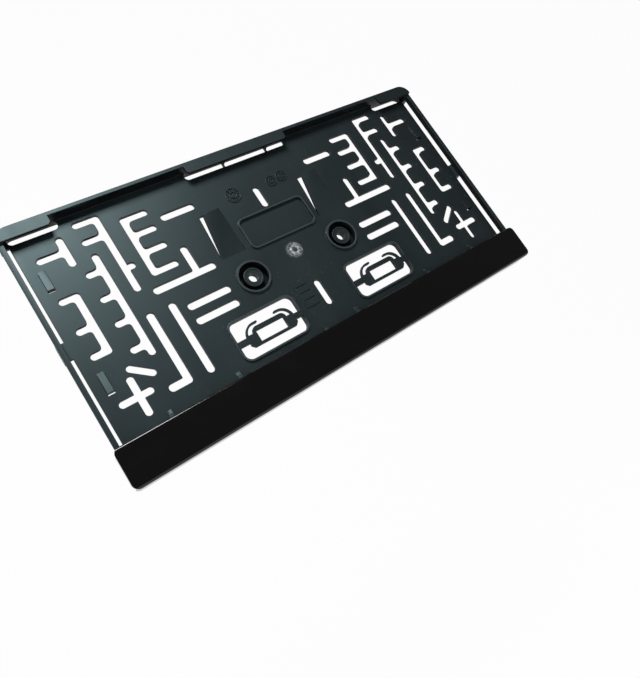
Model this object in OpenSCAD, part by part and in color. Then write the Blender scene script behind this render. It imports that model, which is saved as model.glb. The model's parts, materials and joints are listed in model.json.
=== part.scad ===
// Number plate holder for a 305 x 152 mm plate: a slotted base plate with a raised rim and lips,
// and a clip-on front strip that traps the plate's lower edge.
// Lengths are in millimetres. The drawing plane of the modules is the floor of the plate pocket,
// with x to the right, y up the plate and z towards the viewer, and z = 0 on the floor.

/* [Base plate] */
// Width of the floor between the gaps along the side rims
pocket_w = 306.4; // [304:0.1:312]
// Height of the base plate over its top wall and its lower wall
base_h = 164; // [160:1:172]
// Thickness of the floor
floor_t = 2.2; // [1.6:0.1:3]
// Depth from the floor back to the mounting face
back_depth = 6; // [4.5:0.1:9]
// Thickness of the top and bottom walls and of the skirt behind them
rim_t = 2.4; // [1.4:0.1:3]
// Thickness of the side rims
side_rim_t = 3; // [1.6:0.1:4]
// Height of the side rims above the floor
side_rim_h = 5.5; // [4.5:0.1:6.5]
// Height of the top wall above the floor
top_wall_h = 7.5; // [6.8:0.1:10]
// Slope of the top wall's inner face, measured along the floor
top_slope = 0.4; // [0:0.1:3]
// Outer corner radius of the base plate
corner_r = 8; // [4:0.1:10]
// Width of the open gap between the floor and the side rims
side_gap = 2; // [1.4:0.1:4]
// Height of the side rims' underside above the floor, along the gap
rim_lift = 1.3; // [0.6:0.1:2.4]
// Middle of the bridge across the gap, above the plate's middle
bridge_y = 3; // [-20:0.5:20]
// Length of the bridge
bridge_l = 11; // [6:0.5:30]
// Length of the closed stretch between the gap and the top lips
gap_end = 1.5; // [1:0.5:12]
// Width of the two ribs behind the floor's side edges
back_rib_w = 1.8; // [1.2:0.1:2.6]
// Set-back of those ribs from the floor's side edges
back_rib_inset = 2; // [1:0.1:3]

/* [Top lips] */
// Reach of the lips over the plate, from the top wall's foot
lip_reach = 5.2; // [3:0.1:7]
// Thickness of the lips
lip_t = 1.8; // [1.4:0.1:2.6]
// Width of the middle lip
mid_lip_w = 77.8; // [50:0.2:120]
// Distance of the corner lips' inner ends from the middle
corner_lip_x = 127; // [115:0.2:140]
// Radius of the lips' lower corners
lip_r = 2.5; // [1:0.1:3]
// Play of the moulding slots around the lips
lip_play = 0.4; // [0.2:0.1:1]
// Length of the corner moulding slots beside the corner lips
corner_open = 3.6; // [0.4:0.1:6]
// Places of the middle lip's two ribs, measured from the middle
lip_rib_x = [-10.2, 23.8];
// Thickness of the lip ribs
lip_rib_t = 0.8; // [0.6:0.1:2]
// Set-back of the lip ribs behind the lip's edge
lip_rib_back = 1; // [0.4:0.1:2]

/* [Screw bosses] */
// Spacing of the two screw bosses
boss_pitch = 72; // [66:0.5:80]
// Depth of the boss line below the plate's middle
boss_drop = 4.6; // [2:0.1:8]
// Radius of the screw holes
boss_hole_r = 3.2; // [2.2:0.1:3.4]
// Radius of the hub round the hole
hub_r = 6.6; // [5.6:0.1:7.6]
// Width of the raised edge of the hub
hub_edge = 1.2; // [0.8:0.1:1.6]
// Depth of the hub's face below its raised edge
hub_sink = 0.5; // [0.2:0.1:1.4]
// Radius of the annular recess round the hub
recess_r = 9.8; // [9:0.1:10.6]
// Wall of the boss cup
cup_wall = 1.5; // [1:0.1:2]
// Height of the boss lip above the floor
boss_lip_h = 1.6; // [0.6:0.1:2]

/* [Fixing slots] */
// Width of the fixing slots
slot_w = 4.9; // [4:0.1:5.6]
// Width of the comb and angled slots
comb_w = 4.4; // [3.6:0.1:5]
// Inner and outer end of the two short level slots
level_span = [53, 83];
// Heights of the two short level slots
level_rows = [-4.4, -14.8];
// Inner and outer end of the long level slot
long_span = [53.1, 95.8];
// Height of the long level slot
long_row = 13.6; // [10:0.1:16]
// Distance from the middle of the long slot's upright arm
long_arm_x = 65.6; // [62:0.1:70]
// Top of the long slot's upright arm
long_arm_top = 33.2; // [25:0.1:34]
// Inner and outer end of the upper level slot
upper_span = [44.2, 67.7];
// Height of the upper level slot
upper_row = 55.7; // [53:0.1:58]
// Distances of the two tall upright slots from the middle
tall_x = [90.5, 104.8];
// Lower and upper end of the inner tall slot
tall_span = [-46.1, 3.2];
// Lower end of the outer tall slot, which ends in a foot
foot_row = -43; // [-50:0.1:-30]
// Outer end of that foot
foot_end = 117.2; // [112:0.1:119]
// Lower and upper end of the middle upright slots
middle_lower = [-43.6, -24.8];
middle_upper = [36, 52];
// Radius of the inner corners of the combs
comb_fillet = 2; // [0.5:0.1:3]

/* [Panel and windows] */
// Width and height of the name panel, which is left bare
panel_size = [52.2, 23.4];
// Height of the name panel's middle
panel_y = 22.9; // [20:0.1:24]
// Width of the name panel's raised edge
panel_edge = 1.2; // [0.8:0.1:3]
// Height of the raised edges round the panel and the windows
edge_h = 1.3; // [0.4:0.1:1.6]
// Depth of the sunk face inside the name panel
panel_sink = 0.5; // [0.2:0.1:0.8]
// Distance of the latch windows from the middle
window_x = 45.8; // [43:0.1:48]
// Height of the latch windows' middle
window_y = -38.5; // [-40:0.1:-37]
// Width and height of the latch windows
window_size = [46.1, 25.6];
// Corner radius of the windows
window_r = 4.4; // [3:0.1:6]
// Width of the windows' raised edge
window_edge = 1.4; // [1:0.1:2.4]

/* [Spring tongues] */
// Distance of the spring tongues from the middle
tongue_x = 38.9; // [37.5:0.1:40]
// Height of the tongues' roots
tongue_root_y = 14.4; // [12:0.1:18]
// Length of the tongues along the floor
tongue_l = 31.2; // [24:0.1:32]
// Width of the tongues at the root
tongue_root_w = 17.4; // [12:0.1:18]
// Width of the tongues at the tip
tongue_tip_w = 11.6; // [8:0.1:12.4]
// Slit beside the tongues at the root and at the tip
tongue_slits = [0.3, 1.1];
// Thickness of the tongues
tongue_t = 1.9; // [1:0.1:2]
// Rise of the tongues' tips above the floor
tongue_rise = 5.6; // [2:0.1:7]

/* [Latch frames] */
// Width and height of the latch frames without their horns
latch_size = [34.4, 12.1];
// Width and height of the opening in the latch frames
latch_hole = [20, 7.1];
// Thickness of the latch frames
latch_t = 2.1; // [1.6:0.1:3]
// Height of the latch frames' front above the floor
latch_front = 4.2; // [3:0.1:5]
// Outer radius of the horns
horn_r = 8; // [6:0.1:9]
// Width of the horns
horn_w = 1.4; // [1:0.1:2]
// Length of the straight tips of the horns
horn_tip = 2.3; // [1:0.1:7]
// Drop of the latch frames below the windows' middle
latch_drop = 1.8; // [0.8:0.1:2.6]
// Drop of the opening below the middle of its latch frame
latch_hole_drop = 0.6; // [0:0.1:1]
// Size of the latch frames' cut lower corners
latch_cut = 2.1; // [0:0.1:3]
// Width of the two torsion bars
torsion_w = 4; // [2:0.1:5]
// Thickness of the two torsion bars
torsion_t = 3.2; // [2:0.1:3.6]

/* [Plate guides] */
// Distance of the guide ramps' middle from the floor's side edges
ramp_inset = 8.3; // [6:0.1:10]
// Heights of the lower ends of the guide ramps
ramp_rows = [39.2, -29.2];
// Width and length of the guide ramps
ramp_size = [4.2, 13.2];
// Height of the guide ramps
ramp_h = 1.5; // [0.8:0.1:2.2]
// Width of the slit at the high end of the ramps
ramp_slit = 1; // [0.6:0.1:1.6]
// Distances of the lower ribs from the middle
rib_x = [13.5, 78, 123.4];
// Width of the lower ribs
rib_w = 3; // [1.4:0.1:4]
// Height of the lower ribs
rib_h = 1.6; // [0.8:0.1:2.4]
// Length of the lower ribs that shows above the strip
rib_show = 5.2; // [3.5:0.1:8]

/* [Front strip] */
// Height of the front strip
strip_h = 25.1; // [20:0.1:30]
// Thickness of the front strip
strip_t = 2; // [1.4:0.1:3]
// Clear depth between the floor and the strip
strip_clear = 7; // [6:0.1:9]
// Thickness of the strip's returns at the ends and along the bottom
return_t = 1.45; // [1:0.05:2]
// Fitting play between the strip's returns and the base plate
clip_play = 0.15; // [0.1:0.05:0.4]
// Reach of the bottom return behind the floor
return_back = 4; // [3.4:0.1:4.2]
// Corner radius of the strip's face
strip_r = 4; // [1.5:0.1:5]
// Radius of the strip's long front edges
strip_edge_r = 1.4; // [0.6:0.1:1.8]
// Drop of the small return along the strip's top edge
top_return = 1.2; // [0:0.1:1.4]
// Distances of the snap barbs from the middle
barb_x = [48, 118];
// Width of the snap barbs
barb_w = 12; // [8:0.5:20]
// Reach of the snap barbs under the floor
barb_reach = 1.2; // [0.6:0.1:1.8]
// Play of the snap barbs under the floor
barb_play = 0.3; // [0.2:0.1:0.5]

/* [Hidden] */
$fn = 32;
eps = 0.01;
base_w = pocket_w + 2 * (side_gap + side_rim_t);
top_y = base_h / 2;
foot_y = top_y - rim_t - top_slope;
strip_top = -top_y - clip_play - return_t + strip_h;
boss_x = boss_pitch / 2;
tongue_slope = atan(tongue_rise / tongue_l);
window_outer = window_size + 2 * [window_edge, window_edge];
panel_r = 4.7;
ramp_x = pocket_w / 2 - ramp_inset;
lip_from = foot_y - lip_reach;
lip_h = top_y - lip_from;
horn_rise = 2;
crown_inset = 5;
crown_r = 3.5;
shoulder_drop = 3.6;
wedge_drop = 1;
barb_tip = 0.4;
tongue_hold = 1.5;
strip_end_back = 1;
strip_tuck = 2;
strip_arc = [0 : 15 : 90];

// Combs: distance of the spine from the middle, its two ends, its arms' end and the arms' heights
inner_comb = [88.9, 24.8, 63.5, 75.2];
inner_comb_rows = [24.8, 39, 51.8, 63.5];
hook_comb = [102.8, 20.2, 71.4, 115];
hook_comb_rows = [59, 71.4];
hook_stub = [98.6, 34.5];
outer_comb = [114.5, -18.4, 48.2, 122.6];
outer_comb_rows = [-13, 4.8, 22, 39.1];
edge_comb = [135, -6.5, 30.4, 143];
edge_comb_rows = [-6.5, 10.1, 30.4];
top_comb = [127.5, 50.1, 66.2, 142.3];
top_comb_rows = [58.3];
cross_at = [132.9, -38.2];
cross_level = [124.2, 145];
cross_upright = [-50.9, -25.5];
angled_from = [120.2, -29.6];
angled_to = [130, -21.8];

base_plate();
front_strip();

// Stands the drawing plane upright: the front faces -Y and the origin is midway between the screws
module upright() {
    translate([0, -back_depth, boss_drop]) rotate([90, 0, 0]) children();
}

module both_sides() {
    children();
    mirror([1, 0, 0]) children();
}

module rounded_rect(size, r) {
    square([size.x - 2 * r, size.y], center = true);
    square([size.x, size.y - 2 * r], center = true);
    for (x = [-1, 1], y = [-1, 1])
        translate([x * (size.x / 2 - r), y * (size.y / 2 - r)]) circle(r);
}

// Slot with round ends, whose end circles have their centres at from and to
module slot(from, to, width) {
    run = to - from;
    translate(from) rotate(atan2(run.y, run.x)) {
        translate([0, -width / 2]) square([norm(run), width]);
        circle(d = width);
        translate([norm(run), 0]) circle(d = width);
    }
}

// Level slot given by its two outermost points
module level_slot(span, y, width) {
    slot([span[0] + width / 2, y], [span[1] - width / 2, y], width);
}

module upright_slot(x, span, width) {
    slot([x, span[0] + width / 2], [x, span[1] - width / 2], width);
}

// What is cut off the floor's corner at a point to round it, in few flats; sides tells where the floor is
module corner_round(at, sides) {
    low = [for (side = sides) side < 0 ? -comb_fillet : -eps];
    translate(at) difference() {
        translate(low) square(comb_fillet + eps);
        translate(comb_fillet * sides) circle(comb_fillet, $fn = 12);
    }
}

// Upright spine with level arms: spec holds the spine's place, its ends and the arms' end
module comb(spec, rows) {
    arm_side = sign(spec[3] - spec[0]);
    slot([spec[0], spec[1]], [spec[0], spec[2]], comb_w);
    for (y = rows) {
        slot([spec[0], y], [spec[3], y], comb_w);
        for (up = [-1, 1])
            if (up < 0 ? y > spec[1] : y < spec[2])
                corner_round([spec[0] + arm_side * comb_w / 2, y + up * comb_w / 2], [arm_side, up]);
    }
}

module base_outline() {
    rounded_rect([base_w, base_h], corner_r);
}

module rim_ring() {
    difference() {
        base_outline();
        rounded_rect([base_w - 2 * side_rim_t, base_h - 2 * rim_t], corner_r - rim_t);
    }
}

module screw_slots() {
    for (y = level_rows) level_slot(level_span, y, slot_w);
    level_slot(long_span, long_row, slot_w);
    upright_slot(long_arm_x, [long_row, long_arm_top], slot_w);
    level_slot(upper_span, upper_row, slot_w);
    upright_slot(tall_x[0], tall_span, slot_w);
    upright_slot(tall_x[1], [foot_row - slot_w / 2, tall_span[1]], slot_w);
    level_slot([tall_x[1] - slot_w / 2, foot_end], foot_row, slot_w);
}

module comb_slots() {
    comb(inner_comb, inner_comb_rows);
    comb(hook_comb, hook_comb_rows);
    slot(hook_stub, [hook_comb[0], hook_stub.y], comb_w);
    comb(outer_comb, outer_comb_rows);
    comb(edge_comb, edge_comb_rows);
    comb(top_comb, top_comb_rows);
    level_slot(cross_level, cross_at.y, comb_w);
    upright_slot(cross_at.x, cross_upright, comb_w);
    slot(angled_from, angled_to, comb_w);
}

module middle_slots() {
    upright_slot(0, middle_lower, slot_w);
    upright_slot(0, middle_upper, slot_w);
}

// Openings in the floor that let the mould reach under the lips
module lip_openings() {
    reach = lip_reach + lip_play;
    translate([0, foot_y - reach / 2])
        rounded_rect([mid_lip_w + 2 * lip_play, reach], reach / 2 - eps);
    both_sides() {
        from = corner_lip_x - corner_open;
        to = pocket_w / 2 - lip_play;
        translate([(from + to) / 2, foot_y - reach / 2])
            rounded_rect([to - from, reach], reach / 2 - eps);
    }
}

module tongue_outline(root_w, tip_w, length) {
    polygon([[-root_w / 2, 0], [root_w / 2, 0], [tip_w / 2, length], [-tip_w / 2, length]]);
}

module tongue_window() {
    translate([tongue_x, tongue_root_y])
        tongue_outline(tongue_root_w + 2 * tongue_slits[0], tongue_tip_w + 2 * tongue_slits[1],
            tongue_l + tongue_slits[1]);
}

module ramp_slits() {
    for (y = ramp_rows)
        translate([ramp_x - ramp_size.x / 2, y - ramp_slit]) square([ramp_size.x, ramp_slit]);
}

// Gaps along the side rims, cut right out to the side, in two lengths
module side_gaps() {
    low = [strip_top - strip_tuck, bridge_y - bridge_l / 2];
    high = [bridge_y + bridge_l / 2, lip_from - gap_end];
    for (span = [low, high])
        translate([pocket_w / 2, span[0]]) square([base_w, span[1] - span[0]]);
}

module floor_sheet() {
    difference() {
        translate([0, 0, -floor_t]) linear_extrude(floor_t) difference() {
            base_outline();
            both_sides() {
                side_gaps();
                screw_slots();
                comb_slots();
                tongue_window();
                ramp_slits();
                translate([window_x, window_y]) rounded_rect(window_size, window_r);
                translate([boss_x, -boss_drop]) circle(recess_r);
            }
            middle_slots();
            lip_openings();
        }
        translate([0, panel_y, -panel_sink]) linear_extrude(floor_t)
            rounded_rect(panel_size - 2 * [panel_edge, panel_edge], panel_r - panel_edge);
    }
}

// Skirt behind the floor, lifted side rims, top wall and the lower wall that carries the strip
module rim() {
    notch_h = return_back - floor_t + 2 * barb_play;
    notch_w = barb_w + 4 * barb_play;
    difference() {
        translate([0, 0, -back_depth]) linear_extrude(back_depth + side_rim_h) rim_ring();
        translate([0, 0, -2 * back_depth]) linear_extrude(2 * back_depth + rim_lift)
            both_sides() side_gaps();
        for (x = barb_x, side = [-1, 1])
            translate([side * x - notch_w / 2, -top_y - rim_t, -floor_t - notch_h])
                cube([notch_w, 3 * rim_t, notch_h]);
    }
    linear_extrude(top_wall_h) intersection() {
        rim_ring();
        translate([-base_w / 2, top_y - corner_r]) square([base_w, corner_r]);
    }
    linear_extrude(strip_clear) intersection() {
        rim_ring();
        translate([-base_w / 2, -top_y]) square([base_w, strip_top + top_y]);
    }
    wedge_w = base_w - 2 * corner_r;
    translate([-wedge_w / 2, 0, 0]) rotate([90, 0, 90]) linear_extrude(wedge_w)
        polygon([[foot_y, -eps], [top_y - rim_t / 2, -eps], [top_y - rim_t / 2, top_wall_h - wedge_drop],
            [top_y - rim_t, top_wall_h - wedge_drop]]);
}

// Ribs that rest on the car where the gaps leave no skirt
module back_ribs() {
    both_sides()
        translate([pocket_w / 2 - back_rib_inset - back_rib_w, -top_y + rim_t / 2, -back_depth])
            cube([back_rib_w, lip_from - gap_end + top_y - rim_t / 2, back_depth - floor_t + eps]);
}

module lips() {
    translate([0, 0, top_wall_h - lip_t]) linear_extrude(lip_t) {
        translate([0, lip_from + lip_h / 2]) {
            rounded_rect([mid_lip_w, lip_h], lip_r);
            translate([-mid_lip_w / 2, 0]) square([mid_lip_w, lip_h / 2]);
        }
        both_sides() intersection() {
            base_outline();
            union() {
                translate([corner_lip_x + lip_r, lip_from]) square([base_w, lip_h]);
                translate([corner_lip_x, lip_from + lip_r]) square([base_w, lip_h]);
                translate([corner_lip_x + lip_r, lip_from + lip_r]) circle(lip_r);
            }
        }
    }
    for (x = lip_rib_x) translate([x - lip_rib_t / 2, 0, 0]) {
        translate([0, lip_from - 2 * lip_play, -floor_t])
            cube([lip_rib_t, lip_reach + 3 * lip_play, floor_t]);
        translate([0, lip_from + lip_rib_back, -floor_t])
            cube([lip_rib_t, lip_reach, floor_t + top_wall_h - lip_t + eps]);
    }
}

// Cup behind the floor with a hub in its middle, which the fixing screw clamps
module screw_boss() {
    translate([boss_x, -boss_drop, 0]) {
        difference() {
            translate([0, 0, -back_depth]) cylinder(h = back_depth + boss_lip_h, r = recess_r + cup_wall);
            translate([0, 0, -back_depth + cup_wall]) cylinder(h = 2 * back_depth, r = recess_r);
            translate([0, 0, -2 * back_depth]) cylinder(h = 2 * back_depth, r = boss_hole_r);
        }
        difference() {
            translate([0, 0, -back_depth]) cylinder(h = back_depth, r = hub_r);
            translate([0, 0, -hub_sink]) cylinder(h = back_depth, r = hub_r - hub_edge);
            translate([0, 0, -2 * back_depth]) cylinder(h = 3 * back_depth, r = boss_hole_r);
        }
    }
}

module raised_edge(size, r, width) {
    translate([0, 0, -eps]) linear_extrude(edge_h + eps) difference() {
        rounded_rect(size, r);
        rounded_rect(size - 2 * [width, width], r - width);
    }
}

module spring_tongue() {
    translate([tongue_x, tongue_root_y, -tongue_t]) rotate([tongue_slope, 0, 0])
        linear_extrude(tongue_t) {
            tongue_outline(tongue_root_w, tongue_tip_w, tongue_l / cos(tongue_slope));
            translate([-tongue_root_w / 2, -tongue_hold]) square([tongue_root_w, tongue_hold + eps]);
        }
}

// Quarter ring that springs from the frame's shoulder and ends in a short straight tip
module horn() {
    translate([latch_size.x / 2 - horn_r, latch_size.y / 2 + horn_rise - horn_r + 1]) {
        intersection() {
            difference() {
                circle(horn_r);
                circle(horn_r - horn_w);
            }
            square(2 * horn_r);
        }
        translate([-horn_tip, horn_r - horn_w]) square([horn_tip, horn_w]);
        translate([-horn_tip, horn_r - horn_w / 2]) circle(d = horn_w);
    }
}

module latch_outline() {
    difference() {
        union() {
            rounded_rect(latch_size - [2 * crown_inset, 0], crown_r);
            translate([0, -shoulder_drop / 2])
                square(latch_size - [0, shoulder_drop], center = true);
            both_sides() horn();
        }
        translate([0, -latch_hole_drop]) square(latch_hole, center = true);
        both_sides() translate([latch_size.x / 2, -latch_size.y / 2]) rotate(45)
            square(latch_cut * sqrt(2), center = true);
    }
}

// Sprung frame in its window, hung between two torsion bars
module latch() {
    bar_l = (window_size.x - latch_size.x) / 2 + window_edge;
    bar_front = latch_front - latch_t / 2;
    translate([window_x, window_y - latch_drop, 0]) {
        translate([0, 0, latch_front - latch_t]) linear_extrude(latch_t) latch_outline();
        both_sides() translate([(latch_size.x - window_edge) / 2, -torsion_w / 2, bar_front - torsion_t])
            cube([bar_l, torsion_w, torsion_t]);
    }
}

module guide_ramp(y) {
    translate([ramp_x - ramp_size.x / 2, 0, 0]) rotate([90, 0, 90]) linear_extrude(ramp_size.x)
        polygon([[y, -eps], [y, ramp_h], [y + ramp_size.y, 0], [y + ramp_size.y, -eps]]);
}

module lower_rib(x) {
    start = strip_top + rib_show;
    translate([x - rib_w / 2, 0, 0]) rotate([90, 0, 90]) linear_extrude(rib_w)
        polygon([[start, -eps], [start - 2 * rib_h, rib_h], [-top_y + rim_t / 2, rib_h],
            [-top_y + rim_t / 2, -eps]]);
}

// Section of the strip: face with rounded long edges, a short return on top and a long one below
module strip_section() {
    bottom = strip_top - strip_h;
    front = strip_clear + strip_t;
    r = strip_edge_r;
    polygon(concat(
        [for (a = strip_arc) [strip_top - r + r * cos(a), front - r + r * sin(a)]],
        [for (a = strip_arc) [bottom + r - r * sin(a), front - r + r * cos(a)]],
        [[bottom, -return_back], [bottom + return_t, -return_back], [bottom + return_t, strip_clear],
            [strip_top - return_t, strip_clear], [strip_top - return_t, strip_clear - top_return],
            [strip_top, strip_clear - top_return]]));
}

module barb(x) {
    bottom = strip_top - strip_h + return_t;
    translate([x - barb_w / 2, 0, 0]) rotate([90, 0, 90]) linear_extrude(barb_w)
        polygon([[bottom - eps, -return_back], [bottom - eps, -floor_t - barb_play],
            [bottom + barb_reach, -floor_t - barb_play], [bottom + barb_tip, -return_back]]);
}

module base_plate() {
    color([0.17, 0.19, 0.19]) upright() {
        floor_sheet();
        rim();
        back_ribs();
        lips();
        both_sides() {
            screw_boss();
            spring_tongue();
            latch();
            translate([window_x, window_y]) raised_edge(window_outer, window_r + window_edge, window_edge);
            for (y = ramp_rows) guide_ramp(y);
            for (x = rib_x) lower_rib(x);
        }
        translate([0, panel_y]) raised_edge(panel_size, panel_r, panel_edge);
    }
}

module front_strip() {
    strip_w = base_w + 2 * (clip_play + return_t);
    color([0.07, 0.06, 0.05]) upright() {
        intersection() {
            translate([-strip_w / 2, 0, 0]) rotate([90, 0, 90]) linear_extrude(strip_w) strip_section();
            translate([0, strip_top - strip_h / 2, -return_back])
                linear_extrude(return_back + strip_clear + strip_t) rounded_rect([strip_w, strip_h], strip_r);
        }
        both_sides() {
            translate([base_w / 2 + clip_play, strip_top - strip_h + strip_r, -strip_end_back])
                cube([return_t, strip_h - 2 * strip_r, strip_clear + strip_end_back + eps]);
            for (x = barb_x) barb(x);
        }
    }
}
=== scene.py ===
import json
import math

import bmesh
import bpy
from mathutils import Matrix, Vector, noise


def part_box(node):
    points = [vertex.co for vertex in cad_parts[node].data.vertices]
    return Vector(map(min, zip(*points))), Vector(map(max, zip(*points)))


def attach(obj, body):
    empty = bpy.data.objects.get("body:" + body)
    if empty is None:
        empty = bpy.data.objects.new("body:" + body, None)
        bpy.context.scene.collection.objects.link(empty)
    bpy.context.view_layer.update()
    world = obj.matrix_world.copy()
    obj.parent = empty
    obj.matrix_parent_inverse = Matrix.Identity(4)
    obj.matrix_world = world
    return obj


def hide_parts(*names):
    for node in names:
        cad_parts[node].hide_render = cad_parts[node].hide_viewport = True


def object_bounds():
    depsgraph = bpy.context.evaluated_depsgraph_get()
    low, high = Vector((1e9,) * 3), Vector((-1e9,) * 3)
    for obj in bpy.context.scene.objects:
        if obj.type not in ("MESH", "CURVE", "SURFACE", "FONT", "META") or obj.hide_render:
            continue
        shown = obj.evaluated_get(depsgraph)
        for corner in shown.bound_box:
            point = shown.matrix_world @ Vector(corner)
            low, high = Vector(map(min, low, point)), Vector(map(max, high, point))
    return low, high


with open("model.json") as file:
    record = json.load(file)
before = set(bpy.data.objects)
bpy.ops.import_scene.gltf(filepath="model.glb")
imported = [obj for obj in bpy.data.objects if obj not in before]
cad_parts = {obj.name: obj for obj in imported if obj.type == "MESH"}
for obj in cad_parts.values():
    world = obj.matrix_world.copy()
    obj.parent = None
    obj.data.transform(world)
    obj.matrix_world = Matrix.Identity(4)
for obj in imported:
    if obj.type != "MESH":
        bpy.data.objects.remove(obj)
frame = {"nodes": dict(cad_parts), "record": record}
CAD_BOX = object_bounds()

MM = 0.001
BODY = "root"

# The drawing plane of the plate pocket: x to the right, y up the plate, z out towards the viewer
BASE_LOW, BASE_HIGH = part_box("base_plate")
MOUNTS = {mount["name"]: mount for mount in frame["record"]["mounts"]}
FLOOR_FACE = MOUNTS["plate_seat"]["pos_m"][1]
MIDDLE_X = (BASE_LOW.x + BASE_HIGH.x) / 2
MIDDLE_Z = (BASE_LOW.z + BASE_HIGH.z) / 2

# Camera of the photograph: where it stands, where it looks and what is up for it
CAMERA_PLACE = Vector((-0.1716, -0.3278, -0.1022))
CAMERA_LOOK = Vector((0.4207, 0.8979, 0.1294))
CAMERA_TOP = Vector((0.4479, -0.3297, 0.8311))
CAMERA_LENS = 29.95
SENSOR = 36.0

# Colours as linear light
# The darkest tone below is painted shade on the walls and the bottoms of recesses
PAINTED_SHADE_DARK = (0.0024, 0.0030, 0.0034)
BASE_DARK = (0.0050, 0.0064, 0.0074)
BASE_LIGHT = (0.0084, 0.0108, 0.0120)
BASE_SHEEN = (0.68, 0.96, 1.0)
# The two crest tones are a painted highlight on the crests of beads and boss lips
CREST_HIGHLIGHT_DARK = (0.0190, 0.0230, 0.0250)
CREST_HIGHLIGHT_LIGHT = (0.0310, 0.0360, 0.0380)
STRIP_BLACK = (0.0016, 0.0014, 0.0012)
GATE_PALE = (0.3600, 0.4000, 0.4000)
DUST_GREY = (0.0700, 0.0760, 0.0740)
STAGE_WHITE = (0.90, 0.90, 0.90)

# Finish of the surfaces: roughness from least to most, shine of the walls and depth of the grain
SATIN_ROUGHNESS = (0.39, 0.48)
WALL_ROUGHNESS = (0.38, 0.50)
GLOSS_ROUGHNESS = (0.07, 0.20)
WALL_SHINE = 0.16
GRAIN_DEPTH = 0.02 * MM

# Rounding in the mesh: the width asked for, which Blender makes smaller where edges are close
# together, the reach of the merge, and the length an edge needs to leave room beside it
SOFT_EDGE = 0.25 * MM
MERGE_REACH = 0.03 * MM
ROOM_BESIDE = 0.60 * MM

# Bends between two faces: below the first they count as flat, over the second an outer edge is
# rounded, over the third any other edge stays crisp, and over the last so does a fold between two
# faces that are both wider than BROAD_FACE
FLAT_ANGLE = math.radians(0.5)
SHARP_ANGLE = math.radians(50)
CRISP_ANGLE = math.radians(30)
FOLD_ANGLE = math.radians(1.5)
BROAD_FACE = 3.0 * MM

# Radii of the rounding that is in the shading alone
EDGE_RADIUS = 0.50 * MM
MARK_RADIUS = 0.10 * MM

# A face is the crest of a bead or a boss lip where it lies between two heights over the floor and
# its normal points forward by at least CREST_FACING. A wall's normal points forward or back by
# less than WALL_LIMIT, and the bottom of a recess lies deeper than RECESS_DEPTH.
CREST_BAND = (1.1 * MM, 1.8 * MM)
CREST_FACING = 0.9
WALL_LIMIT = 0.45
RECESS_DEPTH = 1.0 * MM

# Moulded marks: depth in the floor, height over it, rounding of the crest and the bend over which
# an edge is rounded, width of the lines in millimetres, and flats round a circle
MARK_SINK = 0.15 * MM
MARK_HEIGHT = 0.60 * MM
MARK_SOFT_EDGE = 0.10 * MM
MARK_BEND = 1.0
MARK_LINE = 0.55
ROUND_STEPS = 48

# Centre of the gate, radius of its torn stub, and its section as radius and height in millimetres
GATE_AT = (-0.5, 0.0)
GATE_STUB = 5.6
GATE_SECTION = ((0.0, 0.22), (1.0, 0.30), (1.7, 0.20), (2.2, 0.70), (2.8, 0.85), (3.4, 0.48), (4.2, 0.40),
                (5.0, 0.55), (5.5, 0.42), (5.9, 0.12), (6.5, 0.10), (6.9, -0.15), (0.0, -0.15))

# Lumps on the torn stub: height from which they start, lowest height they leave, size and pitch
LUMP_START = 0.05
LUMP_LOWEST = 0.04
LUMP_SIZE = 0.35
LUMP_PITCH = 0.7

# Centre and radius of each moulding dial, and its inner ring, ticks and pointer as shares of it
DIALS = (((-16.9, 52.2), 5.4), ((13.4, 51.8), 4.1), ((22.2, 52.6), 4.1))
DIAL_INNER = 0.48
DIAL_TICKS = 12
TICK_SPAN = (0.60, 0.82)
POINTER_REACH = 0.30

# Box and rows of the small table
TABLE_BOX = (-16.2, -39.0, -6.6, -23.4)
TABLE_ROWS = (-28.2, -33.4)

# Stage in metres: left and front end, drop below the part, width, place and top of its wall, and
# radius and steps of the sweep between floor and wall
STAGE_LEFT = -3.0
STAGE_FRONT = -3.0
STAGE_DROP = 0.35
STAGE_WIDTH = 7.0
STAGE_WALL = 1.1
STAGE_TOP = 3.0
STAGE_SWEEP = 0.5
STAGE_STEPS = 12
STAGE_GLOW = 0.97

WORLD_COLOUR = (0.95, 0.98, 1.0)
WORLD_STRENGTH = 0.12


def on_plate(x, y):
    """A point of the drawing plane, in millimetres, as a point on the floor in the frame."""
    return Vector((MIDDLE_X + x * MM, FLOOR_FACE, MIDDLE_Z + y * MM))


def add_camera():
    """The camera that took the photograph."""
    data = bpy.data.cameras.new("photo_camera")
    data.lens = CAMERA_LENS
    data.sensor_width = SENSOR
    data.clip_start = 0.01
    data.clip_end = 50
    camera = bpy.data.objects.new("photo_camera", data)
    bpy.context.scene.collection.objects.link(camera)
    back = -CAMERA_LOOK.normalized()
    side = CAMERA_TOP.cross(back).normalized()
    top = back.cross(side)
    turn = Matrix((side, top, back)).transposed()
    camera.matrix_world = Matrix.Translation(CAMERA_PLACE) @ turn.to_4x4()
    bpy.context.scene.camera = camera


def add_softbox(name, direction, distance, size, strength, aim, colour=(1.0, 1.0, 1.0)):
    """A square lamp whose face shines at the given radiance."""
    data = bpy.data.lights.new(name, "AREA")
    data.shape = "SQUARE"
    data.size = size
    data.energy = strength * math.pi * size * size
    data.color = colour
    lamp = bpy.data.objects.new(name, data)
    bpy.context.scene.collection.objects.link(lamp)
    place = aim + Vector(direction).normalized() * distance
    lamp.location = place
    lamp.rotation_mode = "QUATERNION"
    lamp.rotation_quaternion = (aim - place).to_track_quat("-Z", "Y")


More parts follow.
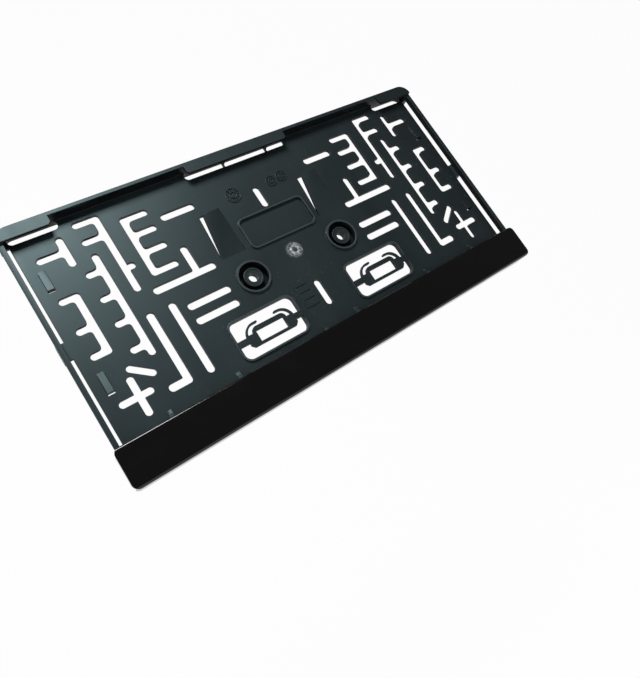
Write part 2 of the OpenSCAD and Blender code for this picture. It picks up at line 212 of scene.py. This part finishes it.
def add_lights():
    """A lamp high in front, a cooler one at the left, and one that lights the backdrop."""
    middle = (CAD_BOX[0] + CAD_BOX[1]) / 2
    behind = middle + Vector((0.0, 0.9, 0.0))
    add_softbox("key_softbox", (-0.10, -0.74, 0.67), distance=1.1, size=0.4, strength=25.0, aim=middle)
    add_softbox("left_softbox", (-0.95, -0.28, 0.10), distance=1.0, size=0.4, strength=12.0, aim=middle,
                colour=(0.92, 0.97, 1.0))
    add_softbox("back_softbox", (0.30, 0.80, 0.52), distance=0.9, size=0.6, strength=2.0, aim=behind)


def add_world():
    """A faint even light from all round."""
    world = bpy.data.worlds.new("studio")
    world.use_nodes = True
    shade = world.node_tree.nodes["Background"]
    shade.inputs["Color"].default_value = (*WORLD_COLOUR, 1.0)
    shade.inputs["Strength"].default_value = WORLD_STRENGTH
    bpy.context.scene.world = world


class Paint:
    """A node material under construction."""

    def __init__(self, name):
        self.material = bpy.data.materials.new(name)
        self.material.use_nodes = True
        self.tree = self.material.node_tree
        self.shader = self.tree.nodes["Principled BSDF"]
        self.output = self.tree.nodes["Material Output"]

    def node(self, kind, settings=None, **sockets):
        made = self.tree.nodes.new(kind)
        for name, value in (settings or {}).items():
            setattr(made, name, value)
        for name, value in sockets.items():
            made.inputs[name.replace("_", " ")].default_value = value
        return made

    def wire(self, source, target):
        self.tree.links.new(source, target)

    def place(self):
        return self.node("ShaderNodeTexCoord").outputs["Object"]

    def noise(self, where, scale, detail=2.0, roughness=0.5, distortion=0.0):
        texture = self.node("ShaderNodeTexNoise", Scale=scale, Detail=detail, Roughness=roughness,
                            Distortion=distortion)
        self.wire(where, texture.inputs["Vector"])
        return texture.outputs["Fac"]

    def stretched(self, where, scale):
        mapping = self.node("ShaderNodeMapping", Scale=scale)
        self.wire(where, mapping.inputs["Vector"])
        return mapping.outputs["Vector"]

    def spread(self, value, low, high, to_low=0.0, to_high=1.0):
        ranged = self.node("ShaderNodeMapRange")
        self.wire(value, ranged.inputs["Value"])
        for name, number in (("From Min", low), ("From Max", high), ("To Min", to_low), ("To Max", to_high)):
            ranged.inputs[name].default_value = number
        return ranged.outputs["Result"]

    def maths(self, operation, first, second):
        made = self.node("ShaderNodeMath", {"operation": operation})
        for socket, value in zip(made.inputs, (first, second)):
            if isinstance(value, float):
                socket.default_value = value
            else:
                self.wire(value, socket)
        return made.outputs[0]

    def product(self, first, second):
        return self.maths("MULTIPLY", first, second)

    def blend(self, share, first, second):
        mix = self.node("ShaderNodeMix", {"data_type": "RGBA"})
        self.wire(share, mix.inputs["Factor"])
        for socket, colour in ((mix.inputs["A"], first), (mix.inputs["B"], second)):
            if isinstance(colour, tuple):
                socket.default_value = (*colour, 1.0)
            else:
                self.wire(colour, socket)
        return mix.outputs["Result"]

    def worn_edges(self, radius):
        """Normals that turn over each edge as over a small radius."""
        return self.node("ShaderNodeBevel", {"samples": 6}, Radius=radius).outputs["Normal"]

    def bump(self, height, distance, strength=1.0, under=None):
        bump = self.node("ShaderNodeBump", Strength=strength, Distance=distance)
        self.wire(height, bump.inputs["Height"])
        if under is not None:
            self.wire(under, bump.inputs["Normal"])
        return bump.outputs["Normal"]


def satin_moulding(name, dark, light, edge_radius):
    """Dark blue-grey plastic with a fine moulded grain, dust specks and soft handling marks."""
    paint = Paint(name)
    where = paint.place()
    cloud = paint.noise(where, 14.0, 4.0, 0.6)
    streak = paint.noise(paint.stretched(where, (35.0, 35.0, 6.0)), 1.0, 3.0, 0.6)
    grain = paint.noise(where, 2600.0, 2.0, 0.6)
    colour = paint.blend(paint.spread(cloud, 0.3, 0.7), dark, light)
    speck = paint.noise(where, 620.0, 1.0, 0.5)
    drift = paint.noise(where, 9.0, 2.0)
    dusty = paint.product(paint.spread(speck, 0.70, 0.74), paint.spread(drift, 0.5, 0.75))
    paint.wire(paint.blend(dusty, colour, DUST_GREY), paint.shader.inputs["Base Color"])
    paint.shader.inputs["Specular Tint"].default_value = (*BASE_SHEEN, 1.0)
    paint.wire(paint.spread(streak, 0.3, 0.7, *SATIN_ROUGHNESS), paint.shader.inputs["Roughness"])
    grained = paint.bump(grain, GRAIN_DEPTH, 0.35, paint.worn_edges(edge_radius))
    paint.wire(grained, paint.shader.inputs["Normal"])
    return paint.material


def shaded_wall():
    """Polished draft faces and recess bottoms of the moulding: less shiny than its satin faces, and darker
    with painted shade.
    """
    paint = Paint("shaded_wall")
    where = paint.place()
    drag = paint.noise(paint.stretched(where, (60.0, 400.0, 60.0)), 1.0, 2.0, 0.5)
    paint.wire(paint.blend(paint.spread(drag, 0.3, 0.7), PAINTED_SHADE_DARK, BASE_DARK),
               paint.shader.inputs["Base Color"])
    paint.shader.inputs["Specular IOR Level"].default_value = WALL_SHINE
    paint.wire(paint.spread(drag, 0.3, 0.7, *WALL_ROUGHNESS), paint.shader.inputs["Roughness"])
    paint.wire(paint.worn_edges(EDGE_RADIUS), paint.shader.inputs["Normal"])
    return paint.material


def gloss_black():
    """Polished black plastic with faint smears that only show in its gloss."""
    paint = Paint("gloss_black")
    where = paint.place()
    smear = paint.noise(paint.stretched(where, (30.0, 30.0, 60.0)), 1.0, 3.0, 0.55, 0.6)
    paint.shader.inputs["Base Color"].default_value = (*STRIP_BLACK, 1.0)
    paint.wire(paint.spread(smear, 0.35, 0.7, *GLOSS_ROUGHNESS), paint.shader.inputs["Roughness"])
    wave = paint.noise(where, 40.0, 1.0, 0.5)
    paint.wire(paint.bump(wave, 0.03 * MM, 0.4), paint.shader.inputs["Normal"])
    return paint.material


def pale_gate():
    """Torn plastic of the moulding gate, whitened by the break within the stub."""
    paint = Paint("pale_gate")
    where = paint.place()
    centred = paint.node("ShaderNodeVectorMath", {"operation": "DISTANCE"})
    paint.wire(where, centred.inputs[0])
    centred.inputs[1].default_value = on_plate(*GATE_AT)
    patch = paint.noise(where, 700.0, 3.0, 0.6)
    inside = paint.spread(centred.outputs["Value"], (GATE_STUB - 0.5) * MM, (GATE_STUB + 0.3) * MM, 1.0, 0.0)
    heart = paint.spread(centred.outputs["Value"], 1.5 * MM, 2.2 * MM, 0.06, 1.0)
    skirt = paint.spread(centred.outputs["Value"], 3.2 * MM, 4.4 * MM, 1.0, 0.42)
    ringed = paint.product(paint.product(inside, heart), skirt)
    torn = paint.product(paint.spread(patch, 0.40, 0.58, 0.12, 1.0), ringed)
    paint.wire(paint.blend(torn, BASE_DARK, GATE_PALE), paint.shader.inputs["Base Color"])
    paint.shader.inputs["Roughness"].default_value = 0.6
    paint.wire(paint.bump(patch, 0.25 * MM, 0.7), paint.shader.inputs["Normal"])
    return paint.material


def stage_white():
    """Pale floor and backdrop that show white and still take a soft shadow."""
    paint = Paint("stage_white")
    cloth = paint.node("ShaderNodeBsdfDiffuse", Color=(*STAGE_WHITE, 1.0))
    glow = paint.node("ShaderNodeEmission", Strength=1.0)
    path = paint.node("ShaderNodeLightPath")
    seen = path.outputs["Is Camera Ray"]
    for other in ("Is Glossy Ray", "Is Transmission Ray"):
        seen = paint.maths("MAXIMUM", seen, path.outputs[other])
    mix = paint.node("ShaderNodeMixShader")
    paint.wire(paint.product(seen, STAGE_GLOW), mix.inputs[0])
    paint.wire(cloth.outputs[0], mix.inputs[1])
    paint.wire(glow.outputs[0], mix.inputs[2])
    paint.wire(mix.outputs[0], paint.output.inputs["Surface"])
    paint.tree.nodes.remove(paint.shader)
    return paint.material


def new_object(name, bm, material):
    """Turns finished bmesh work into an object in the scene."""
    mesh = bpy.data.meshes.new(name)
    bm.to_mesh(mesh)
    bm.free()
    mesh.materials.append(material)
    piece = bpy.data.objects.new(name, mesh)
    bpy.context.scene.collection.objects.link(piece)
    return piece


def add_stage():
    """A floor well below the hanging part and a wall behind it, joined by a wide sweep."""
    material = stage_white()
    floor_z = CAD_BOX[0].z - STAGE_DROP
    sweep_y = STAGE_WALL - STAGE_SWEEP
    bm = bmesh.new()
    start = bm.verts.new((STAGE_LEFT, STAGE_FRONT, floor_z))
    corner = bm.verts.new((STAGE_LEFT, sweep_y, floor_z))
    bm.edges.new((start, corner))
    spun = bmesh.ops.spin(bm, geom=[corner], cent=(STAGE_LEFT, sweep_y, floor_z + STAGE_SWEEP),
                          axis=(1, 0, 0), dvec=(0, 0, 0), angle=math.radians(90), steps=STAGE_STEPS,
                          use_merge=False, use_normal_flip=False, use_duplicate=False)
    last = [item for item in spun["geom_last"] if isinstance(item, bmesh.types.BMVert)][0]
    top = bm.verts.new((STAGE_LEFT, STAGE_WALL, STAGE_TOP))
    bm.edges.new((last, top))
    swept = bmesh.ops.extrude_edge_only(bm, edges=bm.edges[:])
    moved = [item for item in swept["geom"] if isinstance(item, bmesh.types.BMVert)]
    bmesh.ops.translate(bm, verts=moved, vec=(STAGE_WIDTH, 0, 0))
    bmesh.ops.recalc_face_normals(bm, faces=bm.faces[:])
    stage = new_object("studio_sweep", bm, material)
    for face in stage.data.polygons:
        face.use_smooth = True


def round_edges(bm):
    """Rounds the sharp outer edges where there is room and keeps every other fold crisp."""
    crowded = {vert for edge in bm.edges if edge.calc_length() < ROOM_BESIDE for vert in edge.verts}
    roomy = []
    for edge in bm.edges:
        bend = edge.calc_face_angle(0.0)
        reach = BROAD_FACE * edge.calc_length()
        broad = all(face.calc_area() > reach for face in edge.link_faces)
        if bend > SHARP_ANGLE and edge.is_convex and not crowded.intersection(edge.verts):
            roomy.append(edge)
        elif bend > CRISP_ANGLE or (broad and bend > FOLD_ANGLE):
            edge.smooth = False
    bmesh.ops.bevel(bm, geom=roomy, offset=SOFT_EDGE, offset_type="OFFSET", segments=2, profile=0.5,
                    affect="EDGES", material=-1, clamp_overlap=True)


def soft_edged(node, material):
    """A merged copy of a CAD node with its outer edges rounded, which stands for the node."""
    source = frame["nodes"][node]
    bm = bmesh.new()
    bm.from_mesh(source.data)
    bmesh.ops.remove_doubles(bm, verts=bm.verts[:], dist=MERGE_REACH)
    bmesh.ops.dissolve_limit(bm, angle_limit=FLAT_ANGLE, use_dissolve_boundaries=False,
                             verts=bm.verts[:], edges=bm.edges[:], delimit=set())
    round_edges(bm)
    piece = new_object(f"{node}_moulding", bm, material)
    for face in piece.data.polygons:
        face.use_smooth = True
    even = piece.modifiers.new("even_normals", "WEIGHTED_NORMAL")
    even.mode = "FACE_AREA"
    even.keep_sharp = True
    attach(piece, BODY)
    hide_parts(node)
    return piece


def finish_faces(piece, wall_shade_material, crest_highlight_material):
    """Gives walls and bottoms of recesses a darker material with painted shade, and the crests of beads and
    boss lips a lighter one with a painted highlight.
    """
    piece.data.materials.append(wall_shade_material)
    piece.data.materials.append(crest_highlight_material)
    for face in piece.data.polygons:
        height = FLOOR_FACE - face.center.y
        sunk = height < -RECESS_DEPTH and face.normal.y < 0
        if sunk or abs(face.normal.y) < WALL_LIMIT:
            face.material_index = 1
        elif face.normal.y < -CREST_FACING and CREST_BAND[0] < height < CREST_BAND[1]:
            face.material_index = 2


def plate_frame():
    """Takes the drawing plane, in millimetres, into the frame."""
    turn = Matrix(((MM, 0, 0), (0, 0, -MM), (0, MM, 0))).to_4x4()
    return Matrix.Translation(on_plate(0, 0)) @ turn


def line_ring(bm, at, radius):
    """A flat ring whose outer radius is given."""
    loops = []
    for reach in (radius, radius - MARK_LINE):
        made = bmesh.ops.create_circle(bm, cap_ends=False, segments=ROUND_STEPS, radius=reach)["verts"]
        bmesh.ops.translate(bm, vec=(at[0], at[1], 0.0), verts=made)
        loops += list({edge for vert in made for edge in vert.link_edges})
    bmesh.ops.bridge_loops(bm, edges=loops)


def line_bar(bm, start, end):
    """A flat bar from start to end."""
    run = Vector(end) - Vector(start)
    made = bmesh.ops.create_grid(bm, x_segments=1, y_segments=1, size=0.5)["verts"]
    bmesh.ops.scale(bm, vec=(run.length, MARK_LINE, 1.0), verts=made)
    turn = Matrix.Rotation(math.atan2(run.y, run.x), 4, "Z")
    middle = (Vector(start) + Vector(end)) / 2
    bmesh.ops.transform(bm, matrix=Matrix.Translation((middle.x, middle.y, 0)) @ turn, verts=made)


def line_box(bm, box):
    """The four sides of a rectangle, as bars that run past each other at the corners."""
    left, low, right, high = box
    half = MARK_LINE / 2
    for y in (low, high):
        line_bar(bm, (left - half, y), (right + half, y))
    for x in (left, right):
        line_bar(bm, (x, low + half), (x, high - half))


def raised_mark(name, bm, material):
    """Gives flat line work its height, softens its crest and seats it in the floor."""
    bmesh.ops.transform(bm, matrix=plate_frame(), verts=bm.verts[:])
    bmesh.ops.recalc_face_normals(bm, faces=bm.faces[:])
    for face in bm.faces:
        if face.normal.y > 0:
            face.normal_flip()
    bmesh.ops.solidify(bm, geom=bm.faces[:], thickness=MARK_HEIGHT + MARK_SINK)
    crest_y = FLOOR_FACE - MARK_HEIGHT
    front = min(vert.co.y for vert in bm.verts)
    bmesh.ops.translate(bm, vec=(0, crest_y - front, 0), verts=bm.verts[:])
    bmesh.ops.recalc_face_normals(bm, faces=bm.faces[:])
    crest = [edge for edge in bm.edges if all(vert.co.y < crest_y + 0.01 * MM for vert in edge.verts)
             and edge.calc_face_angle(0.0) > MARK_BEND]
    bmesh.ops.bevel(bm, geom=crest, offset=MARK_SOFT_EDGE, offset_type="OFFSET", segments=2, profile=0.5,
                    affect="EDGES", material=-1, clamp_overlap=True)
    piece = new_object(name, bm, material)
    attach(piece, BODY)


def moulding_dial(name, at, radius, material):
    """Plain moulding dial: two rings, ticks and a pointer."""
    bm = bmesh.new()
    centre = Vector(at)
    line_ring(bm, at, radius)
    line_ring(bm, at, radius * DIAL_INNER)
    for step in range(DIAL_TICKS):
        angle = math.radians(360 / DIAL_TICKS * step)
        way = Vector((math.cos(angle), math.sin(angle)))
        line_bar(bm, centre + way * radius * TICK_SPAN[0], centre + way * radius * TICK_SPAN[1])
    pointer = Vector((0, radius * POINTER_REACH))
    line_bar(bm, centre - pointer, centre + pointer)
    raised_mark(name, bm, material)


def small_table(material):
    """Empty table beside the lower slot."""
    bm = bmesh.new()
    line_box(bm, TABLE_BOX)
    half = MARK_LINE / 2
    for y in TABLE_ROWS:
        line_bar(bm, (TABLE_BOX[0] + half, y), (TABLE_BOX[2] - half, y))
    raised_mark("small_table", bm, material)


def gate_stub(material):
    """The torn stub of the gate in the middle of the floor."""
    bm = bmesh.new()
    points = [bm.verts.new((radius, 0.0, height)) for radius, height in GATE_SECTION]
    edges = [bm.edges.new(pair) for pair in zip(points, points[1:])]
    bmesh.ops.subdivide_edges(bm, edges=edges[:-1], cuts=1)
    bmesh.ops.spin(bm, geom=bm.verts[:] + bm.edges[:], cent=(0, 0, 0), axis=(0, 0, 1), dvec=(0, 0, 0),
                   angle=math.radians(360), steps=ROUND_STEPS, use_merge=True, use_normal_flip=False,
                   use_duplicate=False)
    bmesh.ops.remove_doubles(bm, verts=bm.verts[:], dist=0.001)
    for vert in bm.verts:
        if vert.co.z > LUMP_START:
            lump = noise.fractal(vert.co * LUMP_PITCH, 0.8, 2.0, 3)
            vert.co.z = max(LUMP_LOWEST, vert.co.z + LUMP_SIZE * lump)
    bmesh.ops.translate(bm, vec=(GATE_AT[0], GATE_AT[1], 0), verts=bm.verts[:])
    bmesh.ops.transform(bm, matrix=plate_frame(), verts=bm.verts[:])
    bmesh.ops.recalc_face_normals(bm, faces=bm.faces[:])
    piece = new_object("gate_stub", bm, material)
    for face in piece.data.polygons:
        face.use_smooth = True
    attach(piece, BODY)


add_camera()
add_world()
add_lights()
add_stage()

base_plastic = satin_moulding("satin_moulding", BASE_DARK, BASE_LIGHT, EDGE_RADIUS)
# A lighter copy of the satin plastic paints a highlight on the crests of beads and boss lips
crest_painted_highlight = satin_moulding("painted_highlight_crest", CREST_HIGHLIGHT_DARK, CREST_HIGHLIGHT_LIGHT, EDGE_RADIUS)
mark_plastic = satin_moulding("moulded_marks", BASE_DARK, BASE_LIGHT, MARK_RADIUS)
base = soft_edged("base_plate", base_plastic)
# Walls and recess bottoms take painted shade, the crests of beads and boss lips a painted highlight
finish_faces(base, shaded_wall(), crest_painted_highlight)
soft_edged("front_strip", gloss_black())
for number, (at, radius) in enumerate(DIALS, start=1):
    moulding_dial(f"moulding_dial_{number}", at, radius, mark_plastic)
small_table(mark_plastic)
gate_stub(pale_gate())

bpy.context.scene.view_settings.view_transform = "Standard"
